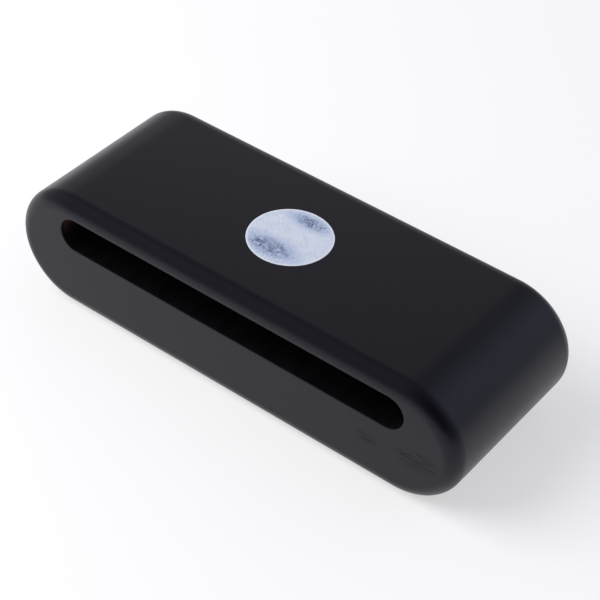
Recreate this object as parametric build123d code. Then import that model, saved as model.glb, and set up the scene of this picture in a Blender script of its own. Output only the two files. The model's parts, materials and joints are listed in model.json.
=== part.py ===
"""Slotted wood block, a hand percussion instrument with one deep sound slot.

Three hardwood boards are glued face to face. The slot is cut right through the front and the middle board,
and the plain back board closes it. The glued blank is then profiled to full half-round ends, its front and
back rims are rounded over, and a round foil label is stuck on the playing face.

Millimetres, +Z up. The origin lies on the underside, midway along the length and the depth.
X runs along the block, and the slot opens towards -Y, the player's side.
"""

import os

from build123d import *

# Driving dimensions of the block
BLOCK_LENGTH = 200.0  # along X, over the half-round ends
BLOCK_HEIGHT = 50.0  # along Z, and the diameter of the half-round ends
BOARD_THICKNESS = 25.0  # along Y, the same for each board
RIM_RADIUS = 6.0  # rounding of the front and back rims

# Driving dimensions of the slot
SLOT_HEIGHT = 14.0  # diameter of the cutter, so the slot's ends are full rounds
STRIKE_PLATE = 7.0  # wood above the slot, which the beater sets ringing
END_WALL = 22.5  # wood beyond each end of the slot
LIP_RADIUS = 0.4  # sanded arris round the slot's mouth

# Driving dimensions of the label
LABEL_DIAMETER = 32.0
LABEL_THICKNESS = 0.15

# Places that follow from them
BOARD_COUNT = 3
BLOCK_DEPTH = BOARD_THICKNESS * BOARD_COUNT
BLOCK_FRONT_Y = -BLOCK_DEPTH / 2
SLOT_LENGTH = BLOCK_LENGTH - 2 * END_WALL
SLOT_CENTRE_Z = BLOCK_HEIGHT - STRIKE_PLATE - SLOT_HEIGHT / 2


def bar(back_y, centre_z, length, height, thickness):
    """A bar with full half-round ends, which reaches from its back face at back_y towards the player."""
    face = Plane.XZ.offset(-back_y) * Pos(0, centre_z) * SlotOverall(length, height)
    return extrude(face, thickness)


def plain_board(back_y):
    """One board of the blank, profiled to the block's outline."""
    return bar(back_y, BLOCK_HEIGHT / 2, BLOCK_LENGTH, BLOCK_HEIGHT, BOARD_THICKNESS)


def slot_cutter(back_y):
    """The cutter's sweep through one board: it enters from well outside and stops flush with the back face."""
    return bar(back_y, SLOT_CENTRE_Z, SLOT_LENGTH, SLOT_HEIGHT, 2 * BOARD_THICKNESS)


def front_board(back_y):
    """The board that shows the slot's mouth: its front rim is rounded, and the mouth's arris is eased."""
    plain = plain_board(back_y)
    rounded = fillet(plain.faces().sort_by(Axis.Y)[0].edges(), RIM_RADIUS)
    cutter = slot_cutter(back_y)
    slotted = rounded - cutter
    mouth = new_edges(rounded, cutter, combined=slotted).filter_by(Axis.Y, reverse=True)
    return fillet(mouth, LIP_RADIUS)


def middle_board(back_y):
    """The board between, which carries the slot on to its full depth."""
    return plain_board(back_y) - slot_cutter(back_y)


def back_board(back_y):
    """The board that closes the slot: its front face is the slot's floor, and its back rim is rounded."""
    plain = plain_board(back_y)
    return fillet(plain.faces().sort_by(Axis.Y)[-1].edges(), RIM_RADIUS)


def round_label():
    """Foil disc stuck on the middle of the playing face."""
    seat = Plane.XY.offset(BLOCK_HEIGHT)
    return extrude(seat * Circle(LABEL_DIAMETER / 2), LABEL_THICKNESS)


def build():
    """Every piece of the block, by the name of its node."""
    back_faces = [BLOCK_FRONT_Y + BOARD_THICKNESS * (place + 1) for place in range(BOARD_COUNT)]
    return {
        "front_board": front_board(back_faces[0]),
        "middle_board": middle_board(back_faces[1]),
        "back_board": back_board(back_faces[2]),
        "round_label": round_label(),
    }


os.makedirs("parts", exist_ok=True)
for node, piece in build().items():
    export_step(piece, f"parts/{node}.step")
    print(f"{node}: {piece.volume / 1000:.2f} cm3, {piece.bounding_box().size}")
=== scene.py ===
# %% [markdown]
# # A slotted wood block in black lacquer
#
# A wood block is one of the simplest instruments: a lump of hardwood with a deep slot cut under one face,
# so that a thin plate is left to ring when it is struck. This one is glued up from three boards, rounded
# all over, sprayed black and given a round foil label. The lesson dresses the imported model: it makes a fine
# skin for each piece, gives every surface its finish, and sets a plain studio round it.

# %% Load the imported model
import json
import math

import bmesh
import bpy
import numpy as np
from mathutils import Matrix, Vector

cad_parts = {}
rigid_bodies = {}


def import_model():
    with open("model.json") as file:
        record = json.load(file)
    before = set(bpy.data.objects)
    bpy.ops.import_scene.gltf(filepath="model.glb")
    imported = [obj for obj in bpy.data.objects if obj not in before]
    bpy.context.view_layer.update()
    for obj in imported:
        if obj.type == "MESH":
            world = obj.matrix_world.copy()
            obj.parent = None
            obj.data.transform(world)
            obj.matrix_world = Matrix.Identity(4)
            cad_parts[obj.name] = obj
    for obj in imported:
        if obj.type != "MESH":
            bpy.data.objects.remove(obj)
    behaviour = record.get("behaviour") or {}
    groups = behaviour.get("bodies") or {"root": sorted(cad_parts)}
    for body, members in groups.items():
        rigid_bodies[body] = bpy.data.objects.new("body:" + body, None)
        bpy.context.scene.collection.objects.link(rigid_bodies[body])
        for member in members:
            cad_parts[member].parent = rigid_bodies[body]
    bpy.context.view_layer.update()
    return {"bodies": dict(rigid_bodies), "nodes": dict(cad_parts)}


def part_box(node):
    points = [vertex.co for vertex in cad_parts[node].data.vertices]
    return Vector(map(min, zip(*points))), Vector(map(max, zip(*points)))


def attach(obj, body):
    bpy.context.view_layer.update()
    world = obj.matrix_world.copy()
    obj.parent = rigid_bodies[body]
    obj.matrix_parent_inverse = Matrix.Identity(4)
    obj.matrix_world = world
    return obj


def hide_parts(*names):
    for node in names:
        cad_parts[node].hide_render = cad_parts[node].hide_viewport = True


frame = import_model()
print("nodes in the frame:", sorted(frame["nodes"]))

# %% [markdown]
# ## Sizes
#
# The frame is in metres, with X along the block, Z up and the slot facing -Y. The outside sizes and the two
# glue planes are read from the nodes' boxes, so the skins land exactly where the boards are. A box says
# nothing about roundings or about the slot, so those few sizes are written here.

# %% Read the sizes
front_low, front_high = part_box("front_board")
back_low, back_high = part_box("back_board")
label_low, label_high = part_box("round_label")

BLOCK_LENGTH = front_high.x - front_low.x
BLOCK_HEIGHT = front_high.z - front_low.z
FRONT_Y, FRONT_SEAM_Y = front_low.y, front_high.y
BACK_SEAM_Y, BACK_Y = back_low.y, back_high.y

RIM_RADIUS = 0.006
SLOT_HEIGHT = 0.014
STRIKE_PLATE = 0.007
END_WALL = 0.0225
LIP_RADIUS = 0.0004

END_RADIUS = BLOCK_HEIGHT / 2
SLOT_RADIUS = SLOT_HEIGHT / 2
OUTLINE_HALF_FLAT = BLOCK_LENGTH / 2 - END_RADIUS
SLOT_HALF_FLAT = BLOCK_LENGTH / 2 - END_WALL - SLOT_RADIUS
SLOT_CENTRE_Z = BLOCK_HEIGHT - STRIKE_PLATE - SLOT_RADIUS
print(f"block {BLOCK_LENGTH:.3f} x {BACK_Y - FRONT_Y:.3f} x {BLOCK_HEIGHT:.3f} m")
print(f"slot {SLOT_HEIGHT:.3f} m high, with its middle at {SLOT_CENTRE_Z:.3f} m")

# %% [markdown]
# ## One ring for every outline
#
# Seen from the front, the block, its slot and everything between them is the same kind of outline: two
# straight runs joined by two half circles. Such a ring needs only three numbers: half the length of the
# straight run, the radius of the half circles, and the height of its middle. So a board could be cut from a
# box with booleans, but a stack of rings is cleaner: the quads follow the form, and the roundings come out
# as smooth as we like.
#
# Each point of a ring has a side, from -1 at the left centre to 1 at the right one, and a turn, the
# direction in which it lies from that centre. These are the same for all rings, so they are worked out
# once.

# %% Points round a ring
ARC_STEPS = 72
RUN_STEPS = 36

arc = np.linspace(-np.pi / 2, np.pi / 2, ARC_STEPS, endpoint=False)
run = np.linspace(1.0, -1.0, RUN_STEPS, endpoint=False)
upward = np.full(RUN_STEPS, np.pi / 2)
RING_SIDE = np.concatenate([np.ones(ARC_STEPS), run, -np.ones(ARC_STEPS), -run])
RING_TURN = np.concatenate([arc, upward, arc + np.pi, upward + np.pi])
RING_POINTS = len(RING_TURN)
print("points in a ring:", RING_POINTS)


def ring_points(stations):
    """The points of a stack of rings, as an array of ring, point and coordinate.

    A station is (half flat, radius, middle height, depth). A point lies at
    x = half flat times side + radius times cosine of turn, y = depth, z = middle + radius times sine of turn.
    """
    half_flat, radius, middle, depth = np.asarray(stations).T[:, :, None]
    x = half_flat * RING_SIDE + radius * np.cos(RING_TURN)
    z = middle + radius * np.sin(RING_TURN)
    return np.stack([x, np.broadcast_to(depth, x.shape), z], axis=-1)


# %% [markdown]
# ## Stations along a board's section
#
# Cut a board across, and its section is a short walk: over the lip of the slot, across the face, round the
# rim, along the side, back over the glue face and out through the slot. Each step of the walk is a ring,
# which lies either beside the slot's edge, at some offset, or beside the block's outline, at some inset.
# Between the two, a flat face is just a straight blend of their numbers. Rings crowd together beside each
# rounding, so that the flat faces stay flat to the eye.

# %% Steps of the walk
ROUNDING_STEPS = 24
LIP_STEPS = 6
CROWDED = np.array([0.0, 0.012, 0.05, 0.15, 0.3, 0.5, 0.7, 0.85, 0.95, 0.988, 1.0])


def beside_slot(offset, depth):
    """The ring that stands off from the slot's edge by offset, at that depth."""
    return np.array([SLOT_HALF_FLAT, SLOT_RADIUS + offset, SLOT_CENTRE_Z, depth])


def beside_outline(inset, depth):
    """The ring that lies within the block's outline by inset, at that depth."""
    return np.array([OUTLINE_HALF_FLAT, END_RADIUS - inset, BLOCK_HEIGHT / 2, depth])


def flat(start, end):
    """Rings blended from start to end in straight lines: start + share times (end - start)."""
    return start + CROWDED[:, None] * (end - start)


def lip(front_y):
    """The eased arris of the slot's mouth: a quarter circle from the slot's wall out to the front face."""
    angles = np.linspace(0.0, np.pi / 2, LIP_STEPS + 1)
    offsets = LIP_RADIUS * (1 - np.cos(angles))
    depths = front_y + LIP_RADIUS * (1 - np.sin(angles))
    return np.array([beside_slot(offset, depth) for offset, depth in zip(offsets, depths)])


def rim(face_y, inward):
    """The rounded rim: a quarter circle from the face to the side.

    Inward is the way from the face into the wood, 1 on the front and -1 on the back.
    """
    angles = np.linspace(0.0, np.pi / 2, ROUNDING_STEPS + 1)
    insets = RIM_RADIUS * (1 - np.sin(angles))
    depths = face_y + inward * RIM_RADIUS * (1 - np.cos(angles))
    return np.array([beside_outline(inset, depth) for inset, depth in zip(insets, depths)])


print("rings over a flat:", len(CROWDED), "over a rim:", ROUNDING_STEPS + 1)

# %% [markdown]
# ## From points to a piece
#
# Every skin ends in the same way, so two helpers do it for the boards and for the label. The first puts the
# points and quads into a mesh and lays a map on it. The second welds the points that fall together, shades
# the mesh smooth up to its sharp corners and makes an object of it. The object stays at the origin, with
# its place in its mesh.

# %% Mesh helpers
WELD_DISTANCE = 1e-7
CORNER_ANGLE = math.radians(40)


def mapped_mesh(name, points, quads, map_name, map_places):
    """A mesh of points and quads, with a map that gives each corner of each quad its place."""
    mesh = bpy.data.meshes.new(name)
    mesh.from_pydata(points.reshape(-1, 3), [], quads.reshape(-1, 4))
    layer = mesh.uv_layers.new(name=map_name)
    layer.data.foreach_set("uv", map_places.astype(np.float32).ravel())
    return mesh


def finished_piece(mesh):
    """An object of the mesh's name, welded and shaded."""
    shape = bmesh.new()
    shape.from_mesh(mesh)
    bmesh.ops.remove_doubles(shape, verts=shape.verts, dist=WELD_DISTANCE)
    shape.to_mesh(mesh)
    shape.free()
    mesh.polygons.foreach_set("use_smooth", np.ones(len(mesh.polygons), bool))
    mesh.set_sharp_from_angle(angle=CORNER_ANGLE)
    piece = bpy.data.objects.new(mesh.name, mesh)
    bpy.context.scene.collection.objects.link(piece)
    print(f"{piece.name}: {len(mesh.vertices)} points, {len(mesh.polygons)} faces")
    return piece


# %% [markdown]
# ## Sewing the rings
#
# Neighbouring rings are sewn together with quads, and a windowed board closes on itself, as a tube does
# when its ends meet. Each stretch of the walk says which finish it wears: lacquer outside, bare wood on the
# glue faces and thin spray in the slot. The map gives the distance round the slot and the depth in metres,
# because the cutter's marks in the slot follow its wall. A plank number tells the boards' grain apart.

# %% Sew rings into a board
LACQUERED, BARE, SPRAYED = 0, 1, 2


def slot_distance():
    """Distance round the slot's edge at each point of a ring, with the full way round at the end."""
    edge = ring_points([beside_slot(0.0, 0.0)])[0]
    steps = np.linalg.norm(np.roll(edge, -1, axis=0) - edge, axis=1)
    return np.concatenate([[0.0], np.cumsum(steps)])


def sewn_board(name, stretches, closed, plank):
    """A board from stretches of (stations, finish). Quad (ring, point) joins a ring to the next one."""
    stations = np.concatenate([rings for rings, finish in stretches])
    finishes = np.concatenate([np.full(len(rings), finish) for rings, finish in stretches])
    rows = len(stations) if closed else len(stations) - 1
    ring, point = np.meshgrid(np.arange(rows), np.arange(RING_POINTS), indexing="ij")
    next_ring, next_point = (ring + 1) % len(stations), (point + 1) % RING_POINTS
    corners = [(ring, point), (next_ring, point), (next_ring, next_point), (ring, next_point)]
    quads = np.stack([r * RING_POINTS + p for r, p in corners], axis=-1)

    around = slot_distance()
    across = np.stack([around[point], around[point], around[point + 1], around[point + 1]], axis=-1)
    station_depth = stations[:, -1]
    depth = np.stack([station_depth[r] for r, p in corners], axis=-1)
    places = np.stack([across, depth], axis=-1)
    mesh = mapped_mesh(name, ring_points(stations), quads, "wall", places)
    quad_finishes = np.repeat(finishes[:rows], RING_POINTS).astype(np.int32)
    mesh.polygons.foreach_set("material_index", quad_finishes)

    board = finished_piece(mesh)
    number = mesh.attributes.new("plank", "FLOAT", "POINT")
    number.data.foreach_set("value", np.full(len(mesh.vertices), plank, np.float32))
    return board


print(f"way round the slot: {slot_distance()[-1]:.4f} m")

# %% [markdown]
# ## The three boards
#
# The front board has the mouth of the slot and a rounded rim. The middle board is the same window with
# square edges. The back board has no window, so its walk starts on the slot's floor and ends in the middle
# of the back, where the ring shrinks to a line and its two sides are welded.

# %% Front board
front_board = sewn_board(
    "front_board_skin",
    [
        (lip(FRONT_Y), LACQUERED),
        (flat(beside_slot(LIP_RADIUS, FRONT_Y), beside_outline(RIM_RADIUS, FRONT_Y))[1:-1], LACQUERED),
        (rim(FRONT_Y, 1), LACQUERED),
        (flat(beside_outline(0, FRONT_Y + RIM_RADIUS), beside_outline(0, FRONT_SEAM_Y))[1:-1], LACQUERED),
        (flat(beside_outline(0, FRONT_SEAM_Y), beside_slot(0, FRONT_SEAM_Y))[:-1], BARE),
        (flat(beside_slot(0, FRONT_SEAM_Y), beside_slot(0, FRONT_Y + LIP_RADIUS))[:-1], SPRAYED),
    ],
    closed=True,
    plank=1.0,
)

# %% Middle board
middle_board = sewn_board(
    "middle_board_skin",
    [
        (flat(beside_slot(0, FRONT_SEAM_Y), beside_outline(0, FRONT_SEAM_Y))[:-1], BARE),
        (flat(beside_outline(0, FRONT_SEAM_Y), beside_outline(0, BACK_SEAM_Y))[:-1], LACQUERED),
        (flat(beside_outline(0, BACK_SEAM_Y), beside_slot(0, BACK_SEAM_Y))[:-1], BARE),
        (flat(beside_slot(0, BACK_SEAM_Y), beside_slot(0, FRONT_SEAM_Y))[:-1], SPRAYED),
    ],
    closed=True,
    plank=2.0,
)

# %% Back board
back_board = sewn_board(
    "back_board_skin",
    [
        (flat(beside_slot(-SLOT_RADIUS, BACK_SEAM_Y), beside_slot(0, BACK_SEAM_Y))[:-1], SPRAYED),
        (flat(beside_slot(0, BACK_SEAM_Y), beside_outline(0, BACK_SEAM_Y))[:-1], BARE),
        (flat(beside_outline(0, BACK_SEAM_Y), beside_outline(0, BACK_Y - RIM_RADIUS))[:-1], LACQUERED),
        (rim(BACK_Y, -1)[::-1], LACQUERED),
        (flat(beside_outline(RIM_RADIUS, BACK_Y), beside_outline(END_RADIUS, BACK_Y))[1:], LACQUERED),
    ],
    closed=False,
    plank=3.0,
)

# %% [markdown]
# ## The round label
#
# The label is die-cut from metallised foil. A cylinder from Blender's menu would do for its shape, but its
# edge would be square. Here it is a revolved section: up the cut edge, over a tiny rounding where the die
# pressed it down, and in to the centre. Its map runs round the label one way and out along the radius the
# other way, so that the finish can find its border.

# %% Foil disc
LABEL_RADIUS = (label_high.x - label_low.x) / 2
LABEL_TOP, LABEL_SEAT = label_high.z, label_low.z
LABEL_EDGE_SHARE = 0.6
LABEL_EDGE = LABEL_EDGE_SHARE * (LABEL_TOP - LABEL_SEAT)
LABEL_STEPS = 192
LABEL_RINGS = 24
LABEL_EDGE_STEPS = 6


def label_section():
    """Radius and height along half the label's section.

    It goes from the seat's centre out to the edge, up a quarter circle there, and in to the top's centre.
    """
    angles = np.linspace(0.0, np.pi / 2, LABEL_EDGE_STEPS + 1)
    edge_radius = LABEL_RADIUS - LABEL_EDGE * (1 - np.cos(angles))
    edge_height = LABEL_TOP - LABEL_EDGE * (1 - np.sin(angles))
    top = np.linspace(edge_radius[-1], 0.0, LABEL_RINGS + 1)[1:]
    radius = np.concatenate([[0.0, LABEL_RADIUS], edge_radius, top])
    height = np.concatenate([[LABEL_SEAT, LABEL_SEAT], edge_height, np.full(len(top), LABEL_TOP)])
    return radius, height


def revolved_label(name, radius, height):
    """A closed surface of revolution about Z.

    At each angle, a point lies at (radius times cosine, radius times sine, height).
    """
    step = np.arange(LABEL_STEPS)
    angles = 2 * np.pi * step / LABEL_STEPS
    x = radius[:, None] * np.cos(angles)
    y = radius[:, None] * np.sin(angles)
    points = np.stack([x, y, np.broadcast_to(height[:, None], x.shape)], axis=-1)
    ring, turn = np.meshgrid(np.arange(len(radius) - 1), step, indexing="ij")
    next_turn = (turn + 1) % LABEL_STEPS
    corners = [(ring, turn), (ring, next_turn), (ring + 1, next_turn), (ring + 1, turn)]
    quads = np.stack([r * LABEL_STEPS + t for r, t in corners], axis=-1)

    share = np.stack([turn, turn + 1, turn + 1, turn], axis=-1) / LABEL_STEPS
    reach = np.stack([radius[r] for r, t in corners], axis=-1) / LABEL_RADIUS
    return finished_piece(mapped_mesh(name, points, quads, "spin", np.stack([share, reach], axis=-1)))


label = revolved_label("foil_label", *label_section())

# %% [markdown]
# ## Helpers for the finishes
#
# A finish is a small network of nodes. It could be drawn by hand in the shader editor, but a few helpers
# make it as short as a recipe. One starts a material, one fills a node's inputs, where another node's
# output is linked and any other value is simply set, and one adds a node. The rest are the steps that every
# finish here is made of: noise, a range, a blend of two colours, a sum and relief.

# %% Node helpers


def new_finish(name):
    """A node material, its tree and its Principled shader."""
    material = bpy.data.materials.new(name)
    material.use_nodes = True
    tree = material.node_tree
    return material, tree, tree.nodes["Principled BSDF"]


def fill(tree, node, inputs):
    """Sets or links each named input of a node."""
    for name, value in inputs.items():
        if isinstance(value, bpy.types.NodeSocket):
            tree.links.new(value, node.inputs[name])
        else:
            node.inputs[name].default_value = value


def put(tree, kind, inputs, output=0, **settings):
    """Adds a node of that kind and gives back one of its outputs."""
    node = tree.nodes.new("ShaderNode" + kind)
    for setting, value in settings.items():
        setattr(node, setting, value)
    fill(tree, node, inputs)
    return node.outputs[output]


def stretched(tree, scale):
    """Object coordinates times a scale along each axis."""
    place = put(tree, "TexCoord", {}, output="Object")
    return put(tree, "Mapping", {"Vector": place, "Scale": scale})


# %% Steps of a finish
NOISE_SPAN = (0.3, 0.7)


def noise(tree, place, detail):
    """Noise at a place, mostly within the noise span."""
    return put(tree, "TexNoise", {"Vector": place, "Scale": 1.0, "Detail": detail})


def grain(tree, place, detail):
    """Noise that differs from board to board, by the plank number."""
    plank = put(tree, "Attribute", {}, output="Fac", attribute_name="plank")
    inputs = {"Vector": place, "W": plank, "Scale": 1.0, "Detail": detail}
    return put(tree, "TexNoise", inputs, noise_dimensions="4D")


def ranged(tree, value, low, high, to_low=0.0, to_high=1.0):
    """Value carried from low..high to to_low..to_high, with smooth ends."""
    inputs = {"Value": value, "From Min": low, "From Max": high, "To Min": to_low, "To Max": to_high}
    return put(tree, "MapRange", inputs, interpolation_type="SMOOTHSTEP")


def blend(tree, factor, first, second):
    """A colour between first and second."""
    return put(tree, "Mix", {0: factor, 6: first, 7: second}, output=2, data_type="RGBA")


def sums(tree, operation, first, second):
    """One of the sums that a Math node does."""
    return put(tree, "Math", {0: first, 1: second}, operation=operation)


def relief(tree, height, distance, sunk=False):
    """A normal that rises, or sinks, by that distance where height goes from 0 to 1."""
    return put(tree, "Bump", {"Height": height, "Strength": 1.0, "Distance": distance}, invert=sunk)


print("noise is mostly within", NOISE_SPAN)

# %% [markdown]
# ## Black satin lacquer
#
# The block is sprayed with a black satin lacquer, nearly as dark as a surface gets, so what we see of it is
# what it reflects, blurred by the matting agent. Filler levels the grain before spraying, so the pores are
# no more than a faint trace of strokes along X, and only in a few places did the filler sink and leave them
# open. A painted image could hold the strokes, but noise stretched along X has no seams and runs on over
# the rims. Each open place is an ellipsoid with a soft edge that lets the strokes through. A stroke is
# rough, so it scatters the pale table's mirror image and looks darker. Another noise gives the trace of
# orange peel that a spray gun leaves.

# %% Places of open grain
FAINT_GRAIN = 0.10
FULL_SHARE = 0.4
TOP_Z = BLOCK_HEIGHT
OPEN_GRAIN = (
    # centre, then reach along each axis
    ((0.0840, FRONT_Y, 0.0215), (0.0125, 0.004, 0.0065)),
    ((0.0635, FRONT_Y, 0.0195), (0.0080, 0.004, 0.0034)),
    ((0.0435, -0.0192, TOP_Z), (0.0055, 0.0014, 0.0040)),
)


def within(tree, centre, reach):
    """1 in the middle of an ellipsoid and 0 outside.

    It falls off with the length of (place - centre) / reach, from the full share to 1.
    """
    place = put(tree, "TexCoord", {}, output="Object")
    scale = [1 / length for length in reach]
    shift = [-middle / length for middle, length in zip(centre, reach)]
    offset = put(tree, "Mapping", {"Vector": place, "Scale": scale, "Location": shift})
    away = put(tree, "VectorMath", {0: offset}, output="Value", operation="LENGTH")
    return ranged(tree, away, FULL_SHARE, 1.0, 1.0, 0.0)


def near_any(tree, places, least, spread=1.0):
    """The most that any of the places gives, and no less than least. Spread widens each place's reach."""
    near = least
    for centre, reach in places:
        near = sums(tree, "MAXIMUM", within(tree, centre, [spread * length for length in reach]), near)
    return near


print("places of open grain:", len(OPEN_GRAIN))

# %% Lacquer
GRAIN_STRETCH = (200.0, 3000.0, 3000.0)
GRAIN_STROKES = (0.49, 0.62)
PEEL_STRETCH = (480.0, 480.0, 480.0)
PEEL_SHARE = 0.5
SHEEN_STRETCH = (30.0, 60.0, 60.0)
LACQUER_BLACKS = ((0.0012, 0.0011, 0.0014, 1.0), (0.0016, 0.0015, 0.0018, 1.0))
LACQUER_ROUGHNESS = (0.30, 0.34)
PORE_ROUGHNESS = 0.35
LACQUER_RELIEF = 0.000015
LACQUER_IOR = 1.5
LACQUER_SHINE = 0.36
LACQUER_TINT = (0.80, 0.82, 1.0, 1.0)


def lacquer_finish():
    """Nearly black and satin, with faint grain, open grain in a few places and a trace of orange peel."""
    material, tree, shader = new_finish("black_satin_lacquer")
    strokes = grain(tree, stretched(tree, GRAIN_STRETCH), detail=1.0)
    shown = near_any(tree, OPEN_GRAIN, least=FAINT_GRAIN)
    pores = sums(tree, "MULTIPLY", ranged(tree, strokes, *GRAIN_STROKES), shown)
    peel = sums(tree, "MULTIPLY", noise(tree, stretched(tree, PEEL_STRETCH), detail=2.0), PEEL_SHARE)
    sheen = noise(tree, stretched(tree, SHEEN_STRETCH), detail=3.0)
    satin = ranged(tree, sheen, *NOISE_SPAN, *LACQUER_ROUGHNESS)
    fill(tree, shader, {
        "Base Color": blend(tree, sheen, *LACQUER_BLACKS),
        "Roughness": sums(tree, "ADD", satin, sums(tree, "MULTIPLY", pores, PORE_ROUGHNESS)),
        "Normal": relief(tree, sums(tree, "SUBTRACT", peel, pores), LACQUER_RELIEF),
        "IOR": LACQUER_IOR,
        "Specular IOR Level": LACQUER_SHINE,
        "Specular Tint": LACQUER_TINT,
    })
    return material


lacquer = lacquer_finish()
print("finish:", lacquer.name)

# %% [markdown]
# ## Bare hardwood
#
# The glue faces are planed hardwood, pale and straight grained, and the assembled block hides them. They
# could be left plain, but a board that is taken off the block should still look like wood. The same
# stretched noise draws brown pores, and a broader one draws the figure, the slow change of tone from band
# to band.

# %% Hardwood
PORE_STRETCH = (60.0, 1400.0, 1400.0)
PORE_STROKES = (0.56, 0.68)
FIGURE_STRETCH = (5.0, 160.0, 160.0)
FIGURE_SPAN = (0.35, 0.65)
HARDWOOD_TONES = ((0.52, 0.34, 0.19, 1.0), (0.40, 0.24, 0.12, 1.0))
PORE_BROWN = (0.16, 0.08, 0.04, 1.0)
HARDWOOD_ROUGHNESS = (0.55, 0.70)
PORE_DEPTH = 0.00006


def hardwood_finish():
    """Planed pale hardwood with brown pores along X."""
    material, tree, shader = new_finish("planed_hardwood")
    strokes = grain(tree, stretched(tree, PORE_STRETCH), detail=3.0)
    pores = ranged(tree, strokes, *PORE_STROKES)
    figure = grain(tree, stretched(tree, FIGURE_STRETCH), detail=3.0)
    tone = blend(tree, ranged(tree, figure, *FIGURE_SPAN), *HARDWOOD_TONES)
    fill(tree, shader, {
        "Base Color": blend(tree, pores, tone, PORE_BROWN),
        "Roughness": ranged(tree, figure, *FIGURE_SPAN, *HARDWOOD_ROUGHNESS),
        "Normal": relief(tree, pores, PORE_DEPTH, sunk=True),
    })
    return material


hardwood = hardwood_finish()
print("finish:", hardwood.name)

# %% [markdown]
# ## The slot's thin spray
#
# The spray gun was swept along the slot from above, so the long walls and the lip are black, while the
# upper half of each round end got only what drifted there and shows a dark reddish brown. A painted mask
# could say where, but the slot's own sizes say it too: the brown is how far into a round end a place lies,
# times how high, times how far past the lip. The cutter's chatter runs across the wall as fine ridges,
# spaced along the map's first direction.

# %% Slot spray
SPRAY_DRIFT = 0.002
DRIFT_STRETCH = (240.0, 60.0, 240.0)
SHELTER_LOW = SLOT_CENTRE_Z - 0.7 * SLOT_RADIUS
SHELTER_HIGH = SLOT_CENTRE_Z + 0.3 * SLOT_RADIUS
LIP_END_Y = FRONT_Y + LIP_RADIUS
CHATTER_STRETCH = (900.0, 30.0, 1.0)
CHATTER_HEIGHT = 0.00008
SPRAY_BLACK = (0.0010, 0.0010, 0.0014, 1.0)
DRIFT_BROWN = (0.050, 0.024, 0.017, 1.0)
SPRAY_ROUGHNESS = (0.50, 0.65)


def slot_finish():
    """Thin black spray over cut wood, brown where it only drifted."""
    material, tree, shader = new_finish("slot_spray")
    place = put(tree, "TexCoord", {}, output="Object")
    along, depth, height = (put(tree, "SeparateXYZ", {"Vector": place}, output=axis) for axis in "XYZ")
    drift = noise(tree, stretched(tree, DRIFT_STRETCH), detail=3.0)
    spread = ranged(tree, drift, *NOISE_SPAN, -SPRAY_DRIFT, SPRAY_DRIFT)
    reach = sums(tree, "ADD", sums(tree, "ABSOLUTE", along, 0.0), spread)
    rounding = ranged(tree, reach, SLOT_HALF_FLAT, SLOT_HALF_FLAT + SLOT_RADIUS)
    sheltered = ranged(tree, height, SHELTER_LOW, SHELTER_HIGH)
    inside = ranged(tree, depth, LIP_END_Y, LIP_END_Y + SPRAY_DRIFT)
    drifted = sums(tree, "MULTIPLY", rounding, sums(tree, "MULTIPLY", sheltered, inside))
    wall = put(tree, "UVMap", {}, uv_map="wall")
    chatter = put(tree, "Mapping", {"Vector": wall, "Scale": CHATTER_STRETCH})
    ridges = noise(tree, chatter, detail=2.0)
    fill(tree, shader, {
        "Base Color": blend(tree, drifted, SPRAY_BLACK, DRIFT_BROWN),
        "Roughness": ranged(tree, drift, *NOISE_SPAN, *SPRAY_ROUGHNESS),
        "Normal": relief(tree, ridges, CHATTER_HEIGHT),
    })
    return material


slot_spray = slot_finish()
print("finish:", slot_spray.name)

# %% [markdown]
# ## Silver foil
#
# The label's foil is a pale silver, brushed along Y and half matt, as label foil is. A plain metal would
# mirror the room and go dark, so a matt coat is mixed in, and faint clouds of tone keep it from looking
# like paint. Two long smudges are painted reflection: short strokes and blotches of a dark blue colour
# stand for the dark room mirrored in the foil, and there the foil is also made more metallic. A painted
# blue haze of reflection lies round them. A brighter silver ring runs round the edge. Noise that is fine
# along X and longer along Y draws the brushing.

# %% Foil
# Two smudges of painted reflection: the colour is painted dark where the dark room would show in the gloss.
PAINTED_REFLECTION_SMUDGES = (
    # centre, then reach along each axis
    ((-0.0022, -0.0088, LABEL_TOP), (0.0115, 0.0052, 0.0010)),
    ((0.0008, 0.0110, LABEL_TOP), (0.0085, 0.0036, 0.0010)),
)
BRUSHING_STRETCH = (2600.0, 520.0, 1.0)
PAINTED_REFLECTION_STROKES = (0.38, 0.68)
BLOTCH_STRETCH = (420.0, 620.0, 1.0)
BLOTCH_SPAN = (0.32, 0.60)
CLOUD_STRETCH = (260.0, 160.0, 1.0)
LEAST_MARKED = (0.30, 1.0)
SILVER_TONES = ((0.80, 0.86, 0.94, 1.0), (0.58, 0.67, 0.83, 1.0))
PAINTED_HAZE_SPREAD = 1.6
PAINTED_HAZE_STRENGTH = (0.5, 1.0)
# Colours of painted reflection: a blue haze, and the dark room mirrored in the smudges.
PAINTED_HAZE_BLUE = (0.45, 0.56, 0.77, 1.0)
PAINTED_DARK_REFLECTION = (0.14, 0.21, 0.37, 1.0)
BORDER_REACH = (0.94, 0.98)
BORDER_SILVER = (0.84, 0.90, 0.96, 1.0)
METAL_SHARE = (0.35, 1.0)
FOIL_ROUGHNESS = (0.38, 0.50)
BRUSHING_RELIEF = 0.000004


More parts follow.
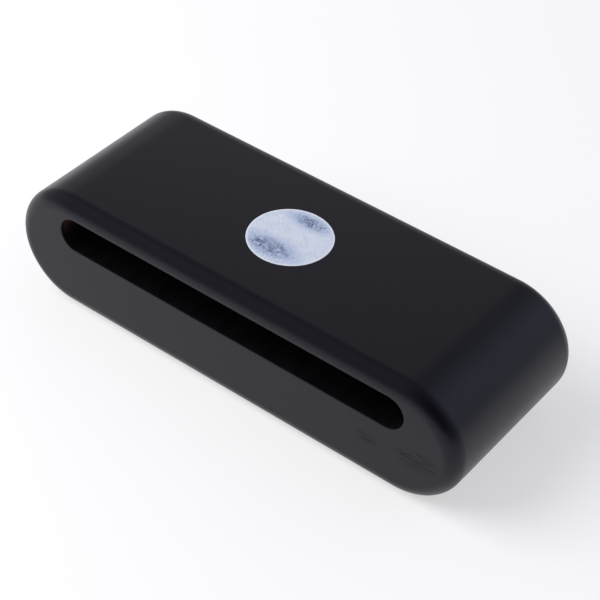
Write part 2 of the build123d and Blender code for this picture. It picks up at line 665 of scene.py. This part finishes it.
def foil_finish():
    """Pale silver brushed along Y, two smudges of painted reflection, their painted haze and a bright border.
    """
    material, tree, shader = new_finish("brushed_silver_foil")
    brushing = noise(tree, stretched(tree, BRUSHING_STRETCH), detail=3.0)
    clouds = noise(tree, stretched(tree, CLOUD_STRETCH), detail=3.0)
    cloudy = ranged(tree, clouds, *NOISE_SPAN, *LEAST_MARKED)
    mottle = sums(tree, "MULTIPLY", cloudy, ranged(tree, brushing, *NOISE_SPAN))
    silver = blend(tree, mottle, *SILVER_TONES)

    # A painted blue haze of reflection round the smudges, streaked by the brushing.
    streaks = ranged(tree, brushing, *NOISE_SPAN, *PAINTED_HAZE_STRENGTH)
    painted_haze = sums(tree, "MULTIPLY", near_any(tree, PAINTED_REFLECTION_SMUDGES, least=0.0, spread=PAINTED_HAZE_SPREAD), streaks)
    with_painted_haze = blend(tree, painted_haze, silver, PAINTED_HAZE_BLUE)

    # Strokes and blotches of painted dark reflection in the smudges, where the foil is also made more
    # metallic.
    blotches = noise(tree, stretched(tree, BLOTCH_STRETCH), detail=2.0)
    blotchy = ranged(tree, blotches, *BLOTCH_SPAN, *LEAST_MARKED)
    painted_reflection_patches = sums(tree, "MULTIPLY", near_any(tree, PAINTED_REFLECTION_SMUDGES, least=0.0), blotchy)
    strokes = sums(tree, "MULTIPLY", painted_reflection_patches, ranged(tree, brushing, *PAINTED_REFLECTION_STROKES, *LEAST_MARKED))
    with_painted_reflection = blend(tree, strokes, with_painted_haze, PAINTED_DARK_REFLECTION)

    spin = put(tree, "UVMap", {}, uv_map="spin")
    border = ranged(tree, put(tree, "SeparateXYZ", {"Vector": spin}, output="Y"), *BORDER_REACH)
    fill(tree, shader, {
        "Base Color": blend(tree, border, with_painted_reflection, BORDER_SILVER),
        "Metallic": ranged(tree, strokes, 0.0, 1.0, *METAL_SHARE),
        "Roughness": ranged(tree, brushing, *NOISE_SPAN, *FOIL_ROUGHNESS),
        "Normal": relief(tree, brushing, BRUSHING_RELIEF),
    })
    return material


foil = foil_finish()
print("finish:", foil.name)

# %% [markdown]
# ## Dress the pieces
#
# Each skin wears its finishes in the order of the numbers given to its stretches, rides on the block's one
# body, and stands for its node, which stays behind for the physics.

# %% Dress and ride
BODY = next(iter(frame["bodies"]))
WOOD_FINISHES = (lacquer, hardwood, slot_spray)

dressed = [
    (front_board, "front_board", "black_lacquered_wood", WOOD_FINISHES),
    (middle_board, "middle_board", "black_lacquered_wood", WOOD_FINISHES),
    (back_board, "back_board", "black_lacquered_wood", WOOD_FINISHES),
    (label, "round_label", "label_foil", (foil,)),
]
for piece, node, slot, finishes in dressed:
    for finish in finishes:
        piece.data.materials.append(finish)
    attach(piece, BODY)
    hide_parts(node)
    print(f"{piece.name} stands for {node}")

# %% [markdown]
# ## Floor
#
# The block lies on a wide white table that glows a little, as a light table does. An ordinary matt white
# would look grey far from the lamp, and a plain white that takes no light would lose the shadow, so the two
# are mixed: what camera rays and mirror-like rays see is a little more than half plain white, and the rest
# is matt. The table lies a hair below the underside, because two faces in one plane flicker.

# %% White table
FLOOR_HALF = 20.0
FLOOR_Z = -0.0001
FLOOR_CORNERS = ((-1, -1), (1, -1), (1, 1), (-1, 1))
MATT_WHITE = (0.99, 0.99, 0.99, 1.0)
PLAIN_WHITE = (1.0, 1.0, 1.0, 1.0)
PLAIN_WHITE_SHARE = 0.55


def floor_finish():
    """Matt white, shown as plain white by a share of what the camera and mirror-like rays see."""
    material = bpy.data.materials.new("white_table")
    material.use_nodes = True
    tree = material.node_tree
    tree.nodes.clear()
    rays = tree.nodes.new("ShaderNodeLightPath").outputs
    seen = sums(tree, "MAXIMUM", rays["Is Camera Ray"], rays["Is Glossy Ray"])
    seen = sums(tree, "MAXIMUM", seen, rays["Is Transmission Ray"])
    matt = put(tree, "BsdfDiffuse", {"Color": MATT_WHITE})
    plain = put(tree, "Emission", {"Color": PLAIN_WHITE, "Strength": 1.0})
    mixed = put(tree, "MixShader", {0: sums(tree, "MULTIPLY", seen, PLAIN_WHITE_SHARE), 1: matt, 2: plain})
    fill(tree, tree.nodes.new("ShaderNodeOutputMaterial"), {"Surface": mixed})
    return material


floor_mesh = bpy.data.meshes.new("table_top")
floor_points = [(x * FLOOR_HALF, y * FLOOR_HALF, FLOOR_Z) for x, y in FLOOR_CORNERS]
floor_mesh.from_pydata(floor_points, [], [(0, 1, 2, 3)])
floor = bpy.data.objects.new("table_top", floor_mesh)
bpy.context.scene.collection.objects.link(floor)
floor.data.materials.append(floor_finish())
print("stage:", floor.name)

# %% [markdown]
# ## Room
#
# A black gloss shows its room, so here the room is the light. Lamps and reflecting cards could be set up
# round the block, but the gloss would show their edges, and a world worked out from a ray's direction has
# none. The room is darkest behind the block and a little to the right, and grows lighter towards the front
# left. Soft glows stand for lit walls at the back right, at the back left and on the left, and a shade for
# the side where the camera stands, whose mirror image is the dark band round the front right rim.

# %% Directions and glows


def compass(azimuth, elevation):
    """The direction at that azimuth, counted from +X towards +Y, and elevation, both in degrees."""
    turn, rise = math.radians(azimuth), math.radians(elevation)
    return Vector((math.cos(turn) * math.cos(rise), math.sin(turn) * math.cos(rise), math.sin(rise)))


def facing(tree, azimuth, elevation):
    """The cosine of the angle between a ray's direction and that direction."""
    pair = {0: put(tree, "TexCoord", {}, output="Generated"), 1: compass(azimuth, elevation)}
    return put(tree, "VectorMath", pair, output="Value", operation="DOT_PRODUCT")


def glow(tree, towards, sharpness, level):
    """A glow that falls off round its middle: level times e to the sharpness times (cosine - 1)."""
    fall = sums(tree, "MULTIPLY", sums(tree, "SUBTRACT", facing(tree, *towards), 1.0), sharpness)
    return sums(tree, "MULTIPLY", sums(tree, "POWER", math.e, fall), level)


def tinted(tree, colour, level):
    """A colour times a level."""
    return put(tree, "VectorMath", {0: colour, "Scale": level}, operation="SCALE")


# %% Room light
ROOM_DARK = 0.087
ROOM_LIGHT = 0.82
ROOM_DARKEST = (62.6, 50.3)
ROOM_COLOUR = (1.02, 0.97, 1.14)
CAMERA_SHADE = ((-51.8, 28.1), 2.0, 0.866)
GLOWS = (
    # direction, sharpness, level, colour
    ((48.8, 34.0), 5.4, 0.84, (0.88, 0.95, 1.09)),
    ((124.4, 22.1), 31.6, 0.88, (0.98, 0.93, 0.92)),
    ((202.4, 48.4), 8.6, 0.31, (1.02, 0.95, 1.08)),
)


def room_light():
    """A world that goes from dark to light with the cosine of the angle from its darkest side.

    The camera's shade takes its share away from that, and the glows are added.
    """
    world = bpy.data.worlds.new("room")
    world.use_nodes = True
    tree = world.node_tree
    limits = {"From Min": 1.0, "From Max": -1.0, "To Min": ROOM_DARK, "To Max": ROOM_LIGHT}
    wall = put(tree, "MapRange", {"Value": facing(tree, *ROOM_DARKEST), **limits})
    left_over = sums(tree, "SUBTRACT", 1.0, glow(tree, *CAMERA_SHADE))
    light = tinted(tree, ROOM_COLOUR, sums(tree, "MULTIPLY", wall, left_over))
    for towards, sharpness, level, colour in GLOWS:
        lit = tinted(tree, colour, glow(tree, towards, sharpness, level))
        light = put(tree, "VectorMath", {0: light, 1: lit}, operation="ADD")
    fill(tree, tree.nodes["Background"], {"Color": light, "Strength": 1.0})
    return world


bpy.context.scene.world = room_light()
bpy.context.scene.view_settings.view_transform = "Standard"
print("glows in the room:", len(GLOWS))

# %% [markdown]
# ## Softbox
#
# Such a room lights matt things too weakly, so a softbox at the front left makes up for it and brings the
# light on a level surface to about 1, where a colour shows as it is written. Its soft shadow falls to the
# right and behind, and the right end mirrors it. The softbox itself is kept out of the gloss, as crossed
# polarising filters would do.

# %% Softbox
SOFTBOX_TOWARDS = (215.0, 42.0)
SOFTBOX_AWAY = 1.3
SOFTBOX_SIZE = 1.0
SOFTBOX_POWER = 17.5


def matt_softbox():
    """A square area lamp that faces the block and lights only what is matt."""
    data = bpy.data.lights.new("front_left_softbox", "AREA")
    data.size = SOFTBOX_SIZE
    data.energy = SOFTBOX_POWER
    lamp = bpy.data.objects.new("front_left_softbox", data)
    bpy.context.scene.collection.objects.link(lamp)
    towards = compass(*SOFTBOX_TOWARDS)
    lamp.location = SOFTBOX_AWAY * towards
    lamp.rotation_euler = towards.to_track_quat("Z", "Y").to_euler()
    lamp.visible_glossy = False
    return lamp


softbox = matt_softbox()
print("lamp:", softbox.name)

# %% [markdown]
# ## Camera
#
# The photograph looks down on the front right corner from about 41 degrees, a little tilted, through a long
# lens. A constraint could aim the camera at the block, but it would lose the tilt, so the camera's three
# directions are worked out from its angles.

# %% Camera
CAMERA_PLACE = (0.29492, -0.40106, 0.45990)
CAMERA_AZIMUTH = math.radians(35.792)
CAMERA_ELEVATION = math.radians(41.445)
CAMERA_ROLL = math.radians(2.988)
CAMERA_FIELD = math.radians(18.907)


def camera_axes(azimuth, elevation, roll):
    """The camera's right, up and back directions as columns. Roll turns right towards up."""
    back = np.array([
        math.sin(azimuth) * math.cos(elevation),
        -math.cos(azimuth) * math.cos(elevation),
        math.sin(elevation),
    ])
    level = np.array([math.cos(azimuth), math.sin(azimuth), 0.0])
    upright = np.cross(back, level)
    right = level * math.cos(roll) + upright * math.sin(roll)
    up = upright * math.cos(roll) - level * math.sin(roll)
    return np.column_stack([right, up, back])


camera_data = bpy.data.cameras.new("camera")
camera_data.angle = CAMERA_FIELD
camera = bpy.data.objects.new("camera", camera_data)
bpy.context.scene.collection.objects.link(camera)
turned = np.eye(4)
turned[:3, :3] = camera_axes(CAMERA_AZIMUTH, CAMERA_ELEVATION, CAMERA_ROLL)
turned[:3, 3] = CAMERA_PLACE
camera.matrix_world = Matrix(turned)
bpy.context.scene.camera = camera
print(f"camera lens {camera_data.lens:.1f} mm")
